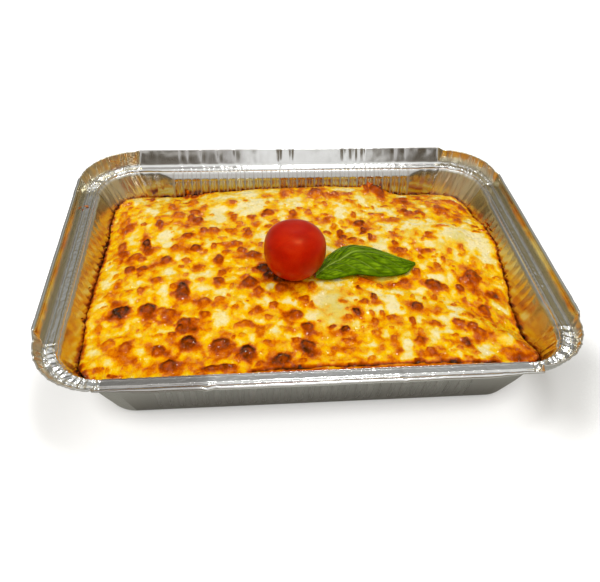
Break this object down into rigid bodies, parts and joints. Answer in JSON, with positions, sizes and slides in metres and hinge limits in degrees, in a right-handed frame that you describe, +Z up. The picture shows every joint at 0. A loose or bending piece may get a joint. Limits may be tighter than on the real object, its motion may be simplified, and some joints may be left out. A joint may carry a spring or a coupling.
{
  "type": "foil tray meal",
  "caption": "Baked lasagne filling a crimped rectangular foil container, with a browned blistered cheese crust, a cherry tomato and a basil leaf on top.",
  "frame": {"origin": "centre of the tray's flat base, on the surface that it stands on", "axes": "+X along the tray's long side, +Y to its back, +Z up"},
  "size_m": [0.2636, 0.198, 0.0648],
  "materials": {
    "foil": "bright rolled foil, pressed and crimped",
    "baked_cheese": "baked cheese crust, browned in blisters, greasy sheen",
    "tomato_skin": "smooth ripe tomato skin",
    "basil": "fresh leaf, waxy sheen"
  },
  "bodies": {
    "root": {"tray": "foil", "lasagne": "baked_cheese", "cherry_tomato": "tomato_skin", "basil_leaf": "basil"}
  },
  "joints": []
}
